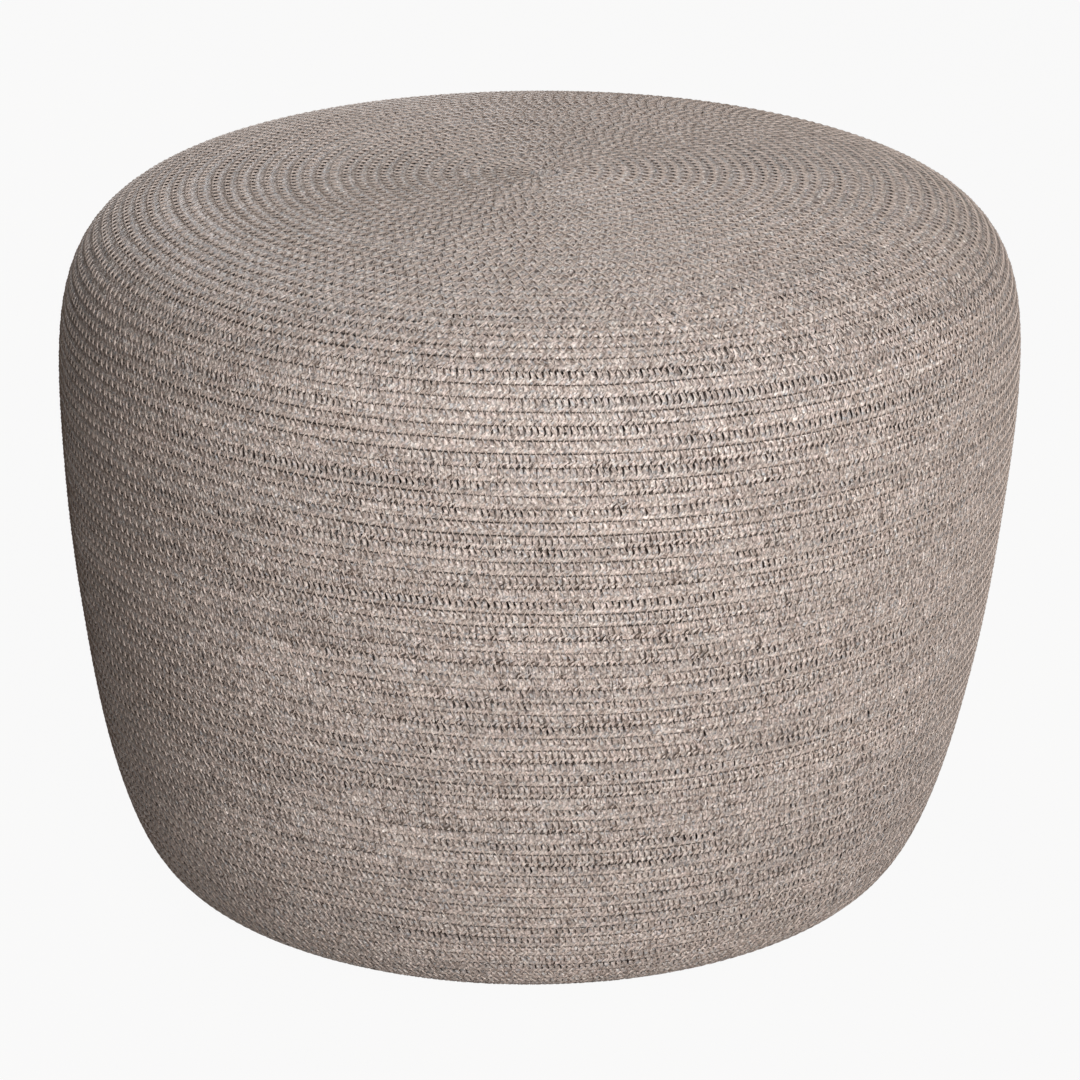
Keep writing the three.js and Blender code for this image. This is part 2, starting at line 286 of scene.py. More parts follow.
def makeTube(name, alongCount, aroundCount, place, wayAt, shares, rowSteps, material, openAt=None):
    grid = bmesh.new()
    bmesh.ops.create_grid(grid, x_segments=alongCount, y_segments=aroundCount, size=1.0)
    mesh = bpy.data.meshes.new(name)
    grid.to_mesh(mesh)
    grid.free()
    flat = np.empty(len(mesh.vertices) * 3, np.float32)
    mesh.vertices.foreach_get("co", flat)
    flat = flat.reshape(-1, 3)
    along = np.rint((flat[:, 0] + 1) / 2 * alongCount).astype(int)
    around = np.rint((1 - flat[:, 1]) / 2 * aroundCount).astype(int)
    points = place(along, around % aroundCount)
    mesh.vertices.foreach_set("co", points.astype(np.float32).ravel())
    # The finish paints shade into the groove as far as this says it is open
    if openAt is not None:
        layer = mesh.attributes.new("grooveOpen", "FLOAT", "POINT")
        layer.data.foreach_set("value", openAt(along, around % aroundCount).astype(np.float32))

    corners = np.empty(len(mesh.loops), np.int32)
    mesh.loops.foreach_get("vertex_index", corners)
    cornerAlong, cornerAround = along[corners], around[corners]
    faceStart = np.repeat(cornerAlong.reshape(-1, 4).min(axis=1), 4)
    row = faceStart // rowSteps
    rowCount = int(row.max()) + 1
    ways = mesh.uv_layers.new(name="cordWay")
    ways.data.foreach_set("uv", wayAt(cornerAlong, cornerAround).astype(np.float32).ravel())
    rows = mesh.uv_layers.new(name="OFBake")
    margin = tubeSetting["mapMargin"]
    across = np.array(shares)[cornerAround]
    share = margin + (1 - 2 * margin) * (cornerAlong - row * rowSteps) / rowSteps
    strip = np.stack([share, (row + across) / rowCount], axis=1)
    rows.data.foreach_set("uv", strip.astype(np.float32).ravel())

    tube = bmesh.new()
    tube.from_mesh(mesh)
    tube.verts.ensure_lookup_table()
    seam = [tube.verts[i] for i in np.nonzero((around == 0) | (around == aroundCount))[0]]
    bmesh.ops.remove_doubles(tube, verts=seam, dist=tubeSetting["weld"])
    bmesh.ops.holes_fill(tube, edges=[edge for edge in tube.edges if edge.is_boundary], sides=0)
    for face in tube.faces:
        face.smooth = True
    tube.to_mesh(mesh)
    tube.free()
    mesh.materials.append(material)
    made = bpy.data.objects.new(name, mesh)
    scene.collection.objects.link(made)
    return made


# The braided cord, wound as one spiral from the seat's centre to the hem. Ways are metres along
# the outline, and the lists of seven go over the cord from its inner to its outer edge.
cordSetting = {
    "pitch": 0.008,  # between neighbouring turns
    "samples": 120001,  # of the whole spiral
    "startRadius": 0.001,
    "plait": 0.00372,  # length of one plait along the cord
    "stepsPerPlait": 3,
    "slant": 0.0021,  # how far a strand runs back from the cord's middle to its side
    "foldIn": 0.4,  # length over which the strands fold in where the spiral starts
    "across": [0.0, 0.09, 0.27, 0.5, 0.73, 0.91, 1.0],
    "sink": [1.0, 0.25, 0.02, 0.2, 0.02, 0.25, 1.0],
    "seatSink": [1.0, 0.68, 0.1, 0.1, 0.1, 0.68, 1.0],  # rounder cords, wider grooves on the seat
    "weave": [0.0, 0.7, 1.0, 0.5, 1.0, 0.7, 0.0],
    "weaveDepth": 0.0010,
    "plaitSteps": [1.0, 0.0, 0.12],
    "notch": [1.18, 0.18, 0.35],  # the groove is deepest between two strands
    "evenGroove": ([0.0, 0.2, 0.3], [0.8, 0.75, 0.0]),  # on the seat it is one channel
    "grooveDepth": (0.0005, 0.0030),
    "openDrifts": [(0.5, 0.31, 21), (0.35, 0.09, 22), (0.15, 0.012, 23)],  # share, reach, seed
    "openSpread": 2.8,  # from those drifts to how far the groove is open
    "openBase": -1.15,
    "opener": ([0.0, 0.2, 0.3, 0.5, 0.65], [0.6, 0.55, 0.0, -0.12, 0.35]),  # on seat and at foot
    "sideOpener": 0.24,  # and on the left, which also deepens the shade painted into the grooves there
    "seatPaintedShade": 1.3,  # how much more shade is painted into the seat's grooves than the wall's
    "edgeWander": 0.0006,
    "edgeDrifts": [(0.045, 11), (0.11, 12)],  # reach, seed
    "edgeStart": 0.5,  # turns before the edge wanders
    "rowWave": 0.0012,  # height of the waves in the rows
    "turnWave": (0.8, 21),  # start round, waves along
    "rowWaves": [(0.6, 3, 9), (0.3, 7, -31)],  # share, waves round, waves along
    "calmStart": 0.03,
    "calmEnd": 0.05,
    "looseness": 0.00016,  # how far a strand lies off its place
    "looseSeed": 31,
    "looseCount": 8191,
    "looseSides": 8,
    "looseStride": 7,
    "mapShares": (0.02, 0.9),  # where the cord's edge lies in its row of the map, and its width
    "mapRows": 0.4,  # rows for each plait, before the root is taken
    "parts": [  # name, first and last way, pieces; the hem runs on to the end
        ("cord_seat", 0.0, 0.262, 3),
        ("cord_shoulder", 0.262, 0.37, 2),
        ("cord_wall", 0.37, 0.716, 6),
        ("cord_hem", 0.716, 9.0, 1),
    ],
}


def windCord():
    pitch = cordSetting["pitch"]
    turns = np.linspace(-1.0, outlineLength / pitch - 1, cordSetting["samples"])
    way = (np.maximum(turns, 0) + turns + 1) / 2 * pitch
    speed = 2 * math.pi * np.hypot(alongOutline(way, "radius"), cordSetting["startRadius"])
    length = np.concatenate([[0.0], np.cumsum((speed[1:] + speed[:-1]) / 2 * np.diff(turns))])
    return {"turns": turns, "length": length}


winding = windCord()
cordLength = float(winding["length"][-1])


def turnsAt(length):
    return np.interp(length, winding["length"], winding["turns"])


def lengthAt(turns):
    return np.interp(turns, winding["turns"], winding["length"])


# Where the cord's inner edge lies at a place on the spiral
def grooveWay(turns):
    length = lengthAt(turns)
    wander = sum(drift(length, reach, seed) for reach, seed in cordSetting["edgeDrifts"])
    wander = (wander - 1) * cordSetting["edgeWander"]
    way = np.maximum(turns, 0) * cordSetting["pitch"]
    return way + np.where(turns > cordSetting["edgeStart"], wander, 0)


# How far the groove there is one channel, how far it is open, and how deep
def evenGroove(turns):
    return np.interp(turns * cordSetting["pitch"], *cordSetting["evenGroove"])


def grooveOpen(turns):
    length = lengthAt(turns)
    drifts = cordSetting["openDrifts"]
    share = sum(weight * drift(length, reach, seed) for weight, reach, seed in drifts)
    opener = np.interp(turns * cordSetting["pitch"], *cordSetting["opener"])
    side = cordSetting["sideOpener"] * (1 - evenGroove(turns)) * np.cos(turns * 2 * math.pi)
    base = cordSetting["openSpread"] * share + cordSetting["openBase"]
    return np.clip(base + (opener - side), 0, 1)


def grooveDepth(turns):
    low, high = cordSetting["grooveDepth"]
    return low + (high - low) * grooveOpen(turns)


# The rows rise and fall a little on their way round
def rowWave(way, angle):
    calmStart, calmEnd = cordSetting["calmStart"], cordSetting["calmEnd"]
    calm = np.clip(way / calmStart, 0, 1)
    calm = calm * np.clip((outlineLength - calmEnd - way) / calmEnd, 0, 1)
    start, run = cordSetting["turnWave"]
    wave = np.sin(angle + start) * np.sin(run * way)
    most = 1.0
    for share, turned, run in cordSetting["rowWaves"]:
        wave = wave + share * np.sin(turned * angle + run * way)
        most += share
    return way + cordSetting["rowWave"] * calm * wave / most


looseness = np.random.default_rng(cordSetting["looseSeed"]).uniform(
    -1, 1, (cordSetting["looseCount"], cordSetting["looseSides"])
)


def cordPoint(steps, around, firstStep):
    position = firstStep + steps
    perPlait = cordSetting["stepsPerPlait"]
    across = np.array(cordSetting["across"])[around]
    centre = position * cordSetting["plait"] / perPlait
    tight = np.clip(centre / cordSetting["foldIn"], 0, 1)
    back = cordSetting["slant"] * np.abs(2 * across - 1) * tight
    turns = turnsAt(np.clip(centre - back, 0, cordLength))
    inner, outer = grooveWay(turns), grooveWay(turns + 1)
    deep = grooveDepth(turns) * (1 - across) + grooveDepth(turns + 1) * across
    even = evenGroove(turns)
    sink, seatSink = (np.array(cordSetting[name])[around] for name in ("sink", "seatSink"))
    deep = deep * (sink * (1 - even) + seatSink * even)
    notch = np.array(cordSetting["notch"])[(position + (across == 0.5)) % perPlait]
    deep = deep * (notch * (1 - even) + even)
    half = (across > 0.5).astype(int)  # the strands of the two halves pass each other in turn
    plait = np.array(cordSetting["plaitSteps"])[(position + half) % perPlait]
    deep = deep + cordSetting["weaveDepth"] * np.array(cordSetting["weave"])[around] * plait
    loose = looseness[position * cordSetting["looseStride"] % cordSetting["looseCount"], around]
    deep = deep + cordSetting["looseness"] * (loose + 1)
    angle = turns * 2 * math.pi
    way = np.minimum(inner + (outer - inner) * across, outlineLength)
    return onCover(rowWave(way, angle), deep, angle)


# Colours of the cord, with shade painted between its strands, at the ends of those gaps and in its
# grooves.
# The rows of four are for a smooth step: low, high, and the result at each.
cordPaint = {
    "yarns": [
        (0.0, asColour(122, 103, 92)),
        (0.10, asColour(176, 157, 144)),
        (0.27, asColour(208, 190, 178)),
        (0.48, asColour(227, 212, 200)),
        (0.66, asColour(240, 220, 210)),
        (0.80, asColour(251, 240, 229)),
        (0.92, asColour(192, 191, 191)),
    ],
    "yarnShare": 0.72,  # of single yarns against whole strands
    "yarnsPerStrand": 3.0,
    "flecksAcross": 6.5,
    "fleckStart": 2.0,  # keeps the yarns' random numbers apart from the strands'
    "unevenNoise": (300.0, 2.0),  # scale and detail, as for the other noises
    "unevenAlong": 0.6,
    "unevenAcross": 1.2,
    # Shade painted into the gap between two strands, and more at the ends of that gap
    "between": (0.02, 0.30, 1.0, 0.0),  # from the gap between two strands
    "betweenPaintedShade": 0.27,
    "corners": (0.02, 0.34, 1.0, 0.0),  # at the ends of that gap
    "cornerPaintedShade": 0.4,
    # Shade painted into the grooves, as far as each is open
    "groove": (0.64, 1.0, 0.0, 0.52),
    "grooveEven": 0.42,  # share of the groove's painted shade that isn't only between strands
    "stretchAlong": 0.02,
    "stretchNoise": (1.0, 2.0),
    "stretch": (0.25, 0.75, 0.84, 1.10),  # lighter and darker lengths of the cord
    "patchNoise": (14.0, 2.0),
    "patch": (0.3, 0.7, 0.95, 1.03),
    "speckleNoise": (560.0, 2.0),
    "speckle": (0.3, 0.7, 0.64, 1.19),
    "fuzzNoise": (2400.0, 2.0),
    "strandEdge": 0.34,  # how much of a strand's width is rounded in the bump
    "heights": (0.8, 0.5, 0.5, 0.4),  # strand, fibres, yarn and fuzz
    "bump": (0.7, 0.0005),
    "roughness": 0.56,
    "specular": 1.0,
}


def makeCordFinish():
    finish = Finish("braided_cord")
    paint = cordPaint
    along, across = finish.along("cordWay")
    half = across.maths("GREATER_THAN", across, 0.5)
    spread = across.maths("ABSOLUTE", 2 * across - 1)
    uneven = finish.noise(finish.objectPlace(), *paint["unevenNoise"])
    slanted = along + spread * (cordSetting["slant"] / cordSetting["plait"])
    slanted = slanted + half / cordSetting["stepsPerPlait"] + paint["unevenAlong"] * uneven
    strandPick = finish.pick(slanted.whole(), half)
    fleck = (across * paint["flecksAcross"] + paint["unevenAcross"] * uneven).whole()
    yarn = (slanted * paint["yarnsPerStrand"]).whole()
    yarnPick = finish.pick(yarn, fleck + paint["fleckStart"])
    strandColour = finish.ramp(strandPick, paint["yarns"], "CONSTANT")
    yarnColour = finish.ramp(yarnPick, paint["yarns"], "CONSTANT")
    colour = finish.blend(paint["yarnShare"], strandColour, yarnColour)

    # Shade is painted between the strands, at the ends of those gaps and in the open grooves;
    # stretch, patch and speckle are the yarn's own tone
    middle = slanted.maths("FRACT", slanted).upAndDown()
    between = finish.steps(middle, *paint["between"])
    corners = between * finish.steps((across * 2.0).upAndDown(), *paint["corners"])
    openness = finish.node("ShaderNodeAttribute", {"attribute_name": "grooveOpen"}, output="Fac")
    groove = finish.steps(spread, *paint["groove"]) * openness
    groove = groove * (paint["grooveEven"] + (1.0 - paint["grooveEven"]) * between)
    stretch = finish.point(along * paint["stretchAlong"])
    stretch = finish.noise(stretch, *paint["stretchNoise"])
    patch = finish.noise(finish.objectPlace(), *paint["patchNoise"])
    speckle = finish.noise(finish.objectPlace(), *paint["speckleNoise"])
    shift = finish.steps(stretch, *paint["stretch"]) * finish.steps(patch, *paint["patch"])
    shade = (1.0 - paint["betweenPaintedShade"] * between) * (1.0 - paint["cornerPaintedShade"] * corners)
    shade = shade * (1.0 - groove) * shift * finish.steps(speckle, *paint["speckle"])
    paintedShadeAndTone = finish.node("ShaderNodeCombineColor", inputs={0: shade, 1: shade, 2: shade})
    colour = finish.blend(1.0, colour, paintedShadeAndTone, "MULTIPLY")

    fibres = (slanted * paint["yarnsPerStrand"]).upAndDown()
    fuzz = finish.noise(finish.objectPlace(), *paint["fuzzNoise"])
    strandHeight, fibreHeight, yarnHeight, fuzzHeight = paint["heights"]
    height = strandHeight * finish.steps(middle, 0.0, paint["strandEdge"]) + fibreHeight * fibres
    height = height + yarnHeight * yarnPick + fuzzHeight * fuzz
    inputs = {
        "Base Color": colour,
        "Roughness": paint["roughness"],
        "Specular IOR Level": paint["specular"],
    }
    return finish.surface(inputs, height, paint["bump"])


def makeCordPiece(name, low, high, material):
    plait, perPlait = cordSetting["plait"], cordSetting["stepsPerPlait"]
    firstStep, plaits = low * perPlait, high - low
    rows = max(1, int(round(math.sqrt(plaits * cordSetting["mapRows"]))))
    edgeShare, width = cordSetting["mapShares"]
    shares = [edgeShare + width * across for across in cordSetting["across"]] + [1.0]

    def place(steps, around):
        return cordPoint(steps, around, firstStep)

    def wayAt(steps, around):
        across = np.array(cordSetting["across"] + [2.0])[around]
        tight = np.clip((firstStep + steps) * (plait / perPlait) / cordSetting["foldIn"], 0, 1)
        back = np.abs(2 * np.minimum(across, 1) - 1) * tight * cordSetting["slant"] / plait
        return np.stack([(firstStep + steps) / perPlait - back, across], axis=1)

    # How far the groove is open, raised on the seat, for the shade painted into it
    def openAt(steps, around):
        inOuterHalf = around > len(cordSetting["across"]) // 2
        groove = turnsAt((firstStep + steps) * (plait / perPlait)) + inOuterHalf
        return grooveOpen(groove) * (1 + cordSetting["seatPaintedShade"] * evenGroove(groove))

    piece = makeTube(
        name,
        plaits * perPlait,
        len(cordSetting["across"]),
        place,
        wayAt,
        shares,
        math.ceil(plaits / rows) * perPlait,
        material,
        openAt,
    )
    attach(piece, "root")
    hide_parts("cord_cover")


def makeCord():
    material = makeCordFinish()
    pitch, plait = cordSetting["pitch"], cordSetting["plait"]
    lastPlait = int(cordLength / plait) - 1
    made = 0
    for name, start, end, count in cordSetting["parts"]:
        first = lengthAt(start / pitch - 1) / plait
        last = min(lengthAt(min(end, outlineLength) / pitch - 1) / plait, lastPlait)
        cuts = [int(round(first + (last - first) * i / count)) for i in range(count + 1)]
        for number, (low, high) in enumerate(zip(cuts, cuts[1:]), 1):
            makeCordPiece(f"{name}_{number}" if count > 1 else name, low, high, material)
            made += 1
    print("cord wound,", round(cordLength, 1), "m in", made, "pieces")


makeCord()


# Seam thread, a zigzag over the groove from turn to turn
threadSetting = {
    "stitch": 0.007,  # there and back along the cord
    "stepsPerStitch": 4,
    "sides": 3,
    "reach": 0.0032,  # to each side of the groove, into the middle of the cords
    "radius": 0.00056,
    "endWidth": 1.6,  # how much wider a stitch is where it turns
    "endDepth": 0.0007,
    "lowerDepth": 0.0009,  # of the lower leg of a stitch
    "legRise": 0.0002,
    "footDepth": 0.0006,  # how much lower it lies near the floor
    "footStart": 0.5,  # way at which it begins to, and over how much
    "footReach": 0.15,
    "looseness": 0.14,
    "looseAlong": 0.3,  # share of it that moves a stitch along the cord
    "looseSeed": 41,
    "looseCount": 8191,
    "looseWays": 2,  # along the cord and across it
    "looseStride": 5,
    "pieces": 3,
    "start": 0.009,  # way from the seat's centre
    "endGap": 0.05,  # length left without thread at the hem
    "leastRadius": 0.006,  # of the turn, where a stitch is moved round it
    "leastWay": 0.001,
    "mapRows": 5.0,  # rows for each stitch, before the root is taken
    "mapShares": [0.0, 0.3, 0.6, 0.9],  # where the thread's edges lie in its row of the map
    "colours": [(0.3, asColour(178, 160, 147)), (0.7, asColour(220, 204, 192))],
    "tintAlong": 0.7,
    "tintNoise": (1.0, 3.0),
    "plies": 3.0,  # of the twisted thread in each stitch
    "bump": (0.4, 0.0001),
    "roughness": 0.42,
    "specular": 0.6,
}
threadLooseness = np.random.default_rng(threadSetting["looseSeed"]).uniform(
    -1, 1, (threadSetting["looseCount"], threadSetting["looseWays"])
)


def nearFoot(turns):
    way = turns * cordSetting["pitch"]
    return np.clip((way - threadSetting["footStart"]) / threadSetting["footReach"], 0, 1)


# A stitch has a turn on one side, a leg over the groove, a turn on the other side and a leg back
def threadPoint(steps, around, firstStep):
    position = firstStep + steps
    stitch, reach = threadSetting["stitch"], threadSetting["reach"]
    corner = position % threadSetting["stepsPerStitch"]
    side = np.array([-1.0, 0.0, 1.0, 0.0])[corner]
    isEnd = corner % 2 == 0
    picked = (position + 1) // 2 * threadSetting["looseStride"] % threadSetting["looseCount"]
    loose = threadLooseness[picked] * threadSetting["looseness"]
    length = position / threadSetting["stepsPerStitch"]
    length = (length + threadSetting["looseAlong"] * loose[:, 0]) * stitch
    turns = turnsAt(length + lengthAt(threadSetting["start"] / cordSetting["pitch"]))
    angle = turns * 2 * math.pi
    spin = around * 2 * math.pi / threadSetting["sides"] + math.pi / 2
    upward = np.sin(spin) * threadSetting["radius"]
    sideways = np.cos(spin) * threadSetting["radius"]
    direction = np.where(corner < 2, 1.0, -1.0)
    legLength = math.hypot(stitch / 2, 2 * reach)
    wayShift = np.where(isEnd, -threadSetting["endWidth"], -stitch / 2 / legLength) * sideways
    lengthShift = np.where(isEnd, 0.0, 2 * reach / legLength * direction) * sideways
    lie = threadSetting["lowerDepth"] * (1 + direction * np.cos(angle)) / 2
    lie = lie + threadSetting["footDepth"] * nearFoot(turns)
    depth = np.where(isEnd, threadSetting["endDepth"], lie - threadSetting["legRise"]) - upward
    radius = alongOutline(turns * cordSetting["pitch"], "radius")
    angle = angle + lengthShift / np.maximum(radius, threadSetting["leastRadius"])
    way = grooveWay(turns) + side * reach * (1 + loose[:, 1]) + wayShift
    way = np.clip(way, threadSetting["leastWay"], outlineLength)
    return onCover(rowWave(way, angle), depth, angle)


def makeThreadFinish():
    finish = Finish("seam_thread")
    along, around = finish.along("cordWay")
    ply = (along * threadSetting["plies"] + around).upAndDown()
    tint = finish.point(along * threadSetting["tintAlong"])
    tint = finish.noise(tint, *threadSetting["tintNoise"])
    inputs = {
        "Base Color": finish.ramp(tint, threadSetting["colours"]),
        "Roughness": threadSetting["roughness"],
        "Specular IOR Level": threadSetting["specular"],
    }
    return finish.surface(inputs, ply, threadSetting["bump"])


def makeThread():
    material = makeThreadFinish()
    perStitch, sides = threadSetting["stepsPerStitch"], threadSetting["sides"]
    usable = cordLength - lengthAt(threadSetting["start"] / cordSetting["pitch"])
    stitches = int((usable - threadSetting["endGap"]) / threadSetting["stitch"])
    count = threadSetting["pieces"]
    cuts = [stitches * i // count for i in range(count + 1)]
    for number, (low, high) in enumerate(zip(cuts, cuts[1:]), 1):
        firstStep, rows = low * perStitch, int(math.sqrt((high - low) * threadSetting["mapRows"]))

        def place(steps, around):
            return threadPoint(steps, around, firstStep)

        def wayAt(steps, around):
            return np.stack([(firstStep + steps) / perStitch, around / sides], axis=1)

        piece = makeTube(
            f"seam_thread_{number}",
            (high - low) * perStitch,
            sides,
            place,
            wayAt,
            threadSetting["mapShares"],
            math.ceil((high - low) / rows) * perStitch,
            material,
        )
        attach(piece, "root")
    print("seam sewn,", stitches, "stitches")


makeThread()


# Parts that are spun from a closed section of radii and heights, and the finishing of any part:
# an edge sharper than an angle stays sharp, and move gives the points their last place
spinSetting = {"weld": 1e-6, "sharpAngle": 0.6}


def spinPiece(name, section, sides, material, move):
    body = bmesh.new()
    points = [body.verts.new((radius, 0.0, height)) for radius, height in section]
    edges = [body.edges.new(pair) for pair in zip(points, points[1:])]
    bmesh.ops.spin(
        body,
        geom=points + edges,
        cent=(0.0, 0.0, 0.0),
        axis=(0.0, 0.0, 1.0),
        angle=2 * math.pi,
        steps=sides,
        use_merge=True,
    )
    bmesh.ops.remove_doubles(body, verts=body.verts, dist=spinSetting["weld"])
    return finishPiece(name, body, material, move)


def finishPiece(name, body, material, move=None):
    bmesh.ops.recalc_face_normals(body, faces=body.faces)
    for face in body.faces:
        face.smooth = True
    for edge in body.edges:
        edge.smooth = edge.calc_face_angle(0.0) < spinSetting["sharpAngle"]
    mesh = bpy.data.meshes.new(name)
    body.to_mesh(mesh)
    body.free()
    if move is not None:
        places = np.empty(len(mesh.vertices) * 3, np.float32)
        mesh.vertices.foreach_get("co", places)
        moved = move(places.reshape(-1, 3)).astype(np.float32)
        mesh.vertices.foreach_set("co", moved.ravel())
    mesh.materials.append(material)
    piece = bpy.data.objects.new(name, mesh)
    scene.collection.objects.link(piece)
    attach(piece, "root")
    return piece


# Foam pads under the cover
padSetting = {
    "gap": 0.0006,  # under the cords, and between the pads
    "cordThickness": 0.008,
    "wallThickness": 0.0118,
    "seatBottom": 0.3969,
    "wallBottom": 0.0246,
    "seatTop": 1.0,  # above all of the outline
    "lastWay": 0.72,
    "keepEvery": 60,  # samples of the outline
    "edgeInset": 0.004,
    "sides": 96,
    "seatFill": 0.8,
    "wallFill": 0.6,
    "cellScale": 900.0,
    "stainNoise": (22.0, 3.0),
    "colours": [(0.3, asColour(214, 206, 184)), (0.7, asColour(232, 226, 208))],
    "bump": (0.5, 0.0005),
    "roughness": 0.92,
    "specular": 0.2,
}


def makeFoamFinish():
    finish = Finish("upholstery_foam")
    inputs = {"Vector": finish.objectPlace(), "Scale": padSetting["cellScale"]}
    cells = finish.node("ShaderNodeTexVoronoi", inputs=inputs)
    stain = finish.noise(finish.objectPlace(), *padSetting["stainNoise"])
    inputs = {
        "Base Color": finish.ramp(stain, padSetting["colours"]),
        "Roughness": padSetting["roughness"],
        "Specular IOR Level": padSetting["specular"],
    }
    return finish.surface(inputs, cells, padSetting["bump"])


def makePads():
    material = makeFoamFinish()
    bottom, wallBottom = padSetting["seatBottom"], padSetting["wallBottom"]
    wallTop = bottom - padSetting["gap"]

    def layer(depth, low, high):
        radius = outline["radius"] - outline["out"] * depth
        height = outline["height"] - outline["up"] * depth
        keep = (height >= low) & (height <= high) & (outline["way"] < padSetting["lastWay"])
        chosen = np.nonzero(keep)[0][:: padSetting["keepEvery"]]
        return [(float(radius[i]), float(height[i])) for i in chosen]

    def lean(places):
        return leaned(places[:, 0], places[:, 1], places[:, 2])

    def lay(name, section, node):
        piece = spinPiece(name, section, padSetting["sides"], material, lean)
        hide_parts(node)

    skin = padSetting["cordThickness"] + padSetting["gap"]
    top = layer(skin, bottom, padSetting["seatTop"])
    edge = (top[-1][0] - padSetting["edgeInset"], bottom)
    seat = [(0.0, top[0][1])] + top + [edge, (0.0, bottom)]
    lay("seat_foam", seat, "seat_pad")
    outside = layer(skin, wallBottom, wallTop)
    inside = layer(skin + padSetting["wallThickness"], wallBottom, wallTop)
    wall = outside + inside[::-1] + outside[:1]
    lay("wall_foam", wall, "wall_pad")
    print("pads laid")


makePads()


# Finishes of the board, metal and plastic. Grain and tooth are noises, with a scale and a detail.
# Shades are the colours at the grain's low and high places, and polish is the roughness there.
shadeEnds = (0.3, 0.7)
polishEnds = (0.2, 0.8)
frameLooks = {
    "board": {
        "grain": (60.0, 4.0),
        "shades": ((58, 56, 55), (72, 70, 68)),
        "roughness": 0.55,
        "tooth": (1500.0, 2.0),
        "bump": (0.25, 0.0003),
        "nodes": ("seat_deck", "base_plate"),
    },
    "aluminium": {
        "grain": (300.0, 3.0),
        "shades": ((172, 174, 176), (196, 198, 200)),
        "polish": (0.32, 0.46),
        "nodes": ("top_ring", "lower_hoop", "upper_hoop", "base_flange", "frame_rib"),
    },
    "steel": {
        "grain": (900.0, 2.0),
        "colour": (186, 186, 184),
        "polish": (0.22, 0.34),
        "nodes": ("deck_screw", "base_screw", "glide_screw"),
    },
    "nylon": {
        "grain": (400.0, 3.0),
        "shades": ((30, 30, 31), (44, 44, 45)),
        "polish": (0.42, 0.6),
        "nodes": ("glide",),
    },
}


def rampOf(finish, grain, shades):
    colours = [asColour(*shade) for shade in shades]
    return finish.ramp(grain, list(zip(shadeEnds, colours)))


def polishOf(finish, grain, polish):
    return finish.steps(grain, *polishEnds, *polish)


def makeBoardFinish():
    look = frameLooks["board"]
    finish = Finish("laminate_board")
    grain = finish.noise(finish.objectPlace(), *look["grain"])
    inputs = {"Base Color": rampOf(finish, grain, look["shades"]), "Roughness": look["roughness"]}
    return finish.surface(inputs, finish.noise(finish.objectPlace(), *look["tooth"]), look["bump"])


def makeAluminiumFinish():
    look = frameLooks["aluminium"]
    finish = Finish("brushed_aluminium")
    grain = finish.noise(finish.objectPlace(), *look["grain"])
    inputs = {
        "Base Color": rampOf(finish, grain, look["shades"]),
        "Metallic": 1.0,
        "Roughness": polishOf(finish, grain, look["polish"]),
    }
    return finish.surface(inputs)


def makeSteelFinish():
    look = frameLooks["steel"]
    finish = Finish("stainless_steel")
    grain = finish.noise(finish.objectPlace(), *look["grain"])
    inputs = {
        "Base Color": asColour(*look["colour"]) + (1.0,),
        "Metallic": 1.0,
        "Roughness": polishOf(finish, grain, look["polish"]),
    }
    return finish.surface(inputs)


def makeNylonFinish():
    look = frameLooks["nylon"]
    finish = Finish("black_nylon")
    grain = finish.noise(finish.objectPlace(), *look["grain"])
    inputs = {
        "Base Color": rampOf(finish, grain, look["shades"]),
        "Roughness": polishOf(finish, grain, look["polish"]),
    }
    return finish.surface(inputs)


frameFinishes = {
    "board": makeBoardFinish(),
    "aluminium": makeAluminiumFinish(),
    "steel": makeSteelFinish(),
    "nylon": makeNylonFinish(),
}


# The CAD's own pieces that stay get these finishes
def finishFrame():
    for name, node in nodes.items():
        for slot, look in frameLooks.items():
            if name.startswith(look["nodes"]) and not node.hide_render:
                node.data.materials.clear()
                node.data.materials.append(frameFinishes[slot])
                break
    print("frame finished")


finishFrame()


# Base board, glides and screws as they show from underneath. A screw's head has a hexagonal
# socket; its section is given from the head's face and from the seat that the head lies under.
baseSetting = {
    "boardRadius": 0.211,
    "boardBottom": 0.0053,
    "boardTop": 0.0113,
    "boardSides": 192,
    "edge": 0.0007,  # rounding of the board's edges
    "edgeSegments": 2,
    "rimAngle": 1.2,  # edges sharper than this are rounded
    "ventRadius": 0.025,
    "ventSides": 64,
    "drainRadius": 0.006,
    "drainCircle": 0.1055,
    "drainSides": 36,
    "screwHoleRadius": 0.0024,
    "screwHoleSides": 24,
    "baseScrewCircle": 0.192,
    "baseScrewEnd": 0.0254,
    "glideCircle": 0.191,
    "glideScrewPast": 0.0015,  # past the top of the board
    "count": 6,
    "gap": 0.0003,  # between pieces that rest on each other
    "glideWell": 0.0032,
    "glideSection": [
        (0.0024, 0.0032),
        (0.0046, 0.0032),
        (0.0046, 0.0006),
        (0.0052, 0.0),
        (0.0118, 0.0),
        (0.0134, 0.0004),
        (0.0146, 0.0015),
        (0.015, 0.003),
        (0.015, 0.0046),
        (0.0146, 0.005),
        (0.0024, 0.005),
        (0.0024, 0.0032),
    ],
    "glideSides": 64,
    "socketRadius": 0.0017,
    "socketDepth": 0.0013,
    "socketRim": 0.0001,
    "socketReach": 0.00185,  # what is nearer to a screw's axis belongs to its socket
    "headRadius": 0.0042,
    "headHeight": 0.0022,
    "headRounding": [(0.0011, 0.0001), (0.0004, 0.0004), (0.0, 0.001)],  # in from rim, up from face
    "headEdge": 0.0002,
    "shankRadius": 0.002,
    "shankPoint": 0.0006,
    "screwSides": 36,
}


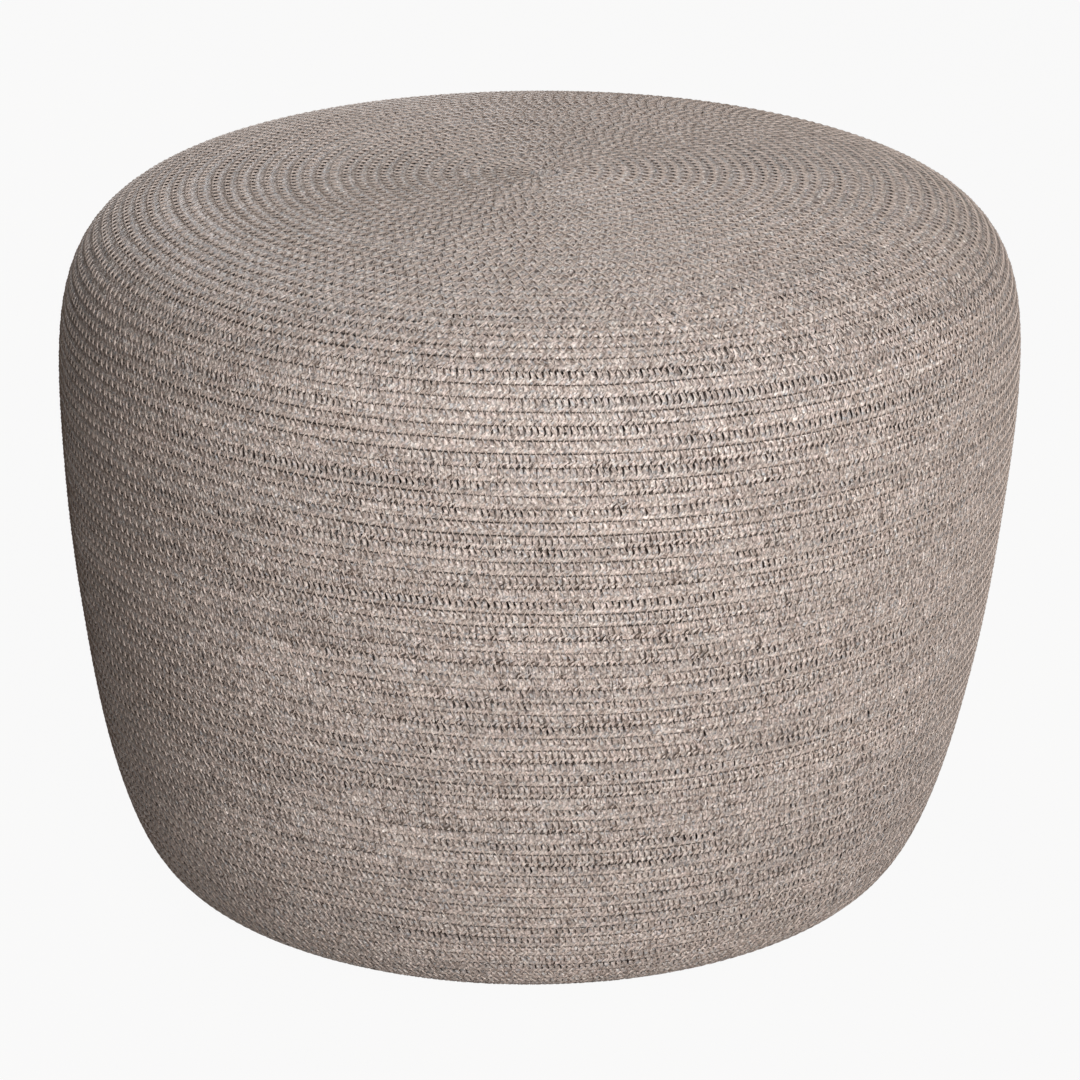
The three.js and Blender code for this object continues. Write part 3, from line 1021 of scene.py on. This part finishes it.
def makeBoard():
    body = bmesh.new()

    def circle(x, y, radius, sides):
        turns = [2 * math.pi * i / sides for i in range(sides)]
        ring = [
            body.verts.new((x + radius * math.cos(turn), y + radius * math.sin(turn), 0.0))
            for turn in turns
        ]
        for first, second in zip(ring, ring[1:] + ring[:1]):
            body.edges.new((first, second))

    circle(0.0, 0.0, baseSetting["boardRadius"], baseSetting["boardSides"])
    circle(0.0, 0.0, baseSetting["ventRadius"], baseSetting["ventSides"])
    drain = (baseSetting["drainRadius"], baseSetting["drainSides"])
    screw = (baseSetting["screwHoleRadius"], baseSetting["screwHoleSides"])
    for i in range(baseSetting["count"]):
        turn = 2 * math.pi * i / baseSetting["count"]
        between = turn + math.pi / baseSetting["count"]
        holes = [
            (baseSetting["drainCircle"], turn, drain),
            (baseSetting["glideCircle"], turn, screw),
            (baseSetting["baseScrewCircle"], between, screw),
        ]
        for away, angle, (radius, sides) in holes:
            circle(away * math.cos(angle), away * math.sin(angle), radius, sides)
    filled = bmesh.ops.triangle_fill(body, use_beauty=True, edges=body.edges)
    faces = [item for item in filled["geom"] if isinstance(item, bmesh.types.BMFace)]
    raised = bmesh.ops.extrude_face_region(body, geom=faces)
    top = [item for item in raised["geom"] if isinstance(item, bmesh.types.BMVert)]
    thickness = baseSetting["boardTop"] - baseSetting["boardBottom"]
    bmesh.ops.translate(body, verts=top, vec=(0.0, 0.0, thickness))
    bmesh.ops.translate(body, verts=body.verts, vec=(0.0, 0.0, baseSetting["boardBottom"]))
    bmesh.ops.recalc_face_normals(body, faces=body.faces)
    rims = [edge for edge in body.edges if edge.calc_face_angle(0.0) > baseSetting["rimAngle"]]
    bmesh.ops.bevel(
        body,
        geom=rims,
        offset=baseSetting["edge"],
        affect="EDGES",
        segments=baseSetting["edgeSegments"],
        profile=0.5,
        material=-1,
    )
    piece = finishPiece("bottom_board", body, frameFinishes["board"])
    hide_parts("base_plate")


# Section of a screw whose head lies under a seat and whose shank ends at a height
def screwSection(seat, end):
    face = seat - baseSetting["headHeight"]
    inner, depth = baseSetting["socketRadius"], baseSetting["socketDepth"]
    rim, edge = baseSetting["socketRim"], baseSetting["headEdge"]
    head, shank = baseSetting["headRadius"], baseSetting["shankRadius"]
    point = baseSetting["shankPoint"]
    socket = [(0.0, face + depth), (inner, face + depth), (inner, face + rim), (inner + rim, face)]
    rounding = [(head - away, face + up) for away, up in baseSetting["headRounding"]]
    under = [(head, seat - edge), (head - edge, seat), (shank, seat)]
    tip = [(shank, end - point), (shank - point, end), (0.0, end)]
    return socket + rounding + under + tip


def makeFeet():
    # Moves a spun piece to its place on the board, with its socket made hexagonal
    def moveTo(away, angle):
        def move(places):
            x, y, z = places.T
            turn = np.arctan2(y, x)
            hexagon = math.cos(math.pi / 6) / np.cos(turn % (math.pi / 3) - math.pi / 6)
            scale = np.where(np.hypot(x, y) <= baseSetting["socketReach"], hexagon, 1.0)
            placed = [x * scale + away * math.cos(angle), y * scale + away * math.sin(angle), z]
            return np.stack(placed, axis=1)

        return move

    gap, well = baseSetting["gap"], baseSetting["glideWell"]
    underBoard = screwSection(baseSetting["boardBottom"] - gap, baseSetting["baseScrewEnd"])
    glideScrewEnd = baseSetting["boardTop"] + baseSetting["glideScrewPast"]
    glide = (baseSetting["glideSection"], baseSetting["glideSides"], "nylon")
    glideScrew = (screwSection(well - gap, glideScrewEnd), baseSetting["screwSides"], "steel")
    boardScrew = (underBoard, baseSetting["screwSides"], "steel")
    for i in range(baseSetting["count"]):
        turn = 2 * math.pi * i / baseSetting["count"]
        between = turn + math.pi / baseSetting["count"]
        rows = [
            ("foot_glide", "glide", glide, baseSetting["glideCircle"], turn),
            ("foot_screw", "glide_screw", glideScrew, baseSetting["glideCircle"], turn),
            ("board_screw", "base_screw", boardScrew, baseSetting["baseScrewCircle"], between),
        ]
        for name, node, (section, sides, slot), away, angle in rows:
            move = moveTo(away, angle)
            piece = spinPiece(f"{name}_{i + 1}", section, sides, frameFinishes[slot], move)
            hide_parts(f"{node}_{i + 1}")
    print("base finished")


makeBoard()
makeFeet()


# Pale floor, soft light from the front and a little from behind
studio = {
    "floorSize": 40.0,
    "floorColour": (0.22, 0.16, 0.125, 1.0),
    "floorRoughness": 0.9,
    "floorWhite": 0.94,  # share of plain white that the camera sees
    "white": (1.0, 1.0, 1.0, 1.0),
    "world": 0.02,
    "worldColour": (1.0, 0.70, 0.52, 1.0),
    "lampColour": (0.985, 0.995, 1.02),
    "lampTarget": (0.0, 0.0, 0.22),
    "lamps": [  # name, degrees round from the camera, degrees up, distance, size, watts
        ("front", 17.0, 25.0, 2.6, 1.2, 67.0),
        ("behind", 205.0, 40.0, 2.6, 1.2, 32.0),
    ],
}


def makeFloor():
    ground = bmesh.new()
    bmesh.ops.create_grid(ground, x_segments=1, y_segments=1, size=studio["floorSize"] / 2)
    mesh = bpy.data.meshes.new("floor")
    ground.to_mesh(mesh)
    ground.free()
    floor = bpy.data.objects.new("floor", mesh)
    scene.collection.objects.link(floor)
    finish = Finish("studio_floor")
    camera, glossy, clear = (
        finish.node("ShaderNodeLightPath", output=f"Is {ray} Ray")
        for ray in ("Camera", "Glossy", "Transmission")
    )
    seen = (camera + glossy + clear) * studio["floorWhite"]
    inputs = {"Base Color": studio["floorColour"], "Roughness": studio["floorRoughness"]}
    paint = finish.node("ShaderNodeBsdfPrincipled", inputs=inputs)
    glow = finish.node("ShaderNodeEmission", inputs={"Color": studio["white"], "Strength": 1.0})
    mixed = finish.node("ShaderNodeMixShader", inputs={0: seen, 1: paint, 2: glow})
    finish.node("ShaderNodeOutputMaterial", inputs={"Surface": mixed})
    mesh.materials.append(finish.owner)


# White to the camera, and a faint warm light to all else
def makeWorld():
    finish = Finish("studio", bpy.data.worlds)
    scene.world = finish.owner
    seen = finish.node("ShaderNodeLightPath", output="Is Camera Ray")
    inputs = {"Value": seen, "To Min": studio["world"], "To Max": 1.0}
    level = finish.node("ShaderNodeMapRange", inputs=inputs)
    tint = finish.blend(seen, studio["worldColour"], studio["white"])
    light = finish.node("ShaderNodeBackground", inputs={"Color": tint, "Strength": level})
    finish.node("ShaderNodeOutputWorld", inputs={"Surface": light})


def makeLamps():
    for name, around, up, distance, size, power in studio["lamps"]:
        data = bpy.data.lights.new(name, "AREA")
        data.shape = "SQUARE"
        data.size = size
        data.energy = power
        data.color = studio["lampColour"]
        lamp = bpy.data.objects.new(name, data)
        lamp.matrix_world = lookAt(studio["lampTarget"], around, up, distance)
        scene.collection.objects.link(lamp)


makeFloor()
makeWorld()
makeLamps()
scene.view_settings.view_transform = "Standard"
print("studio lit")
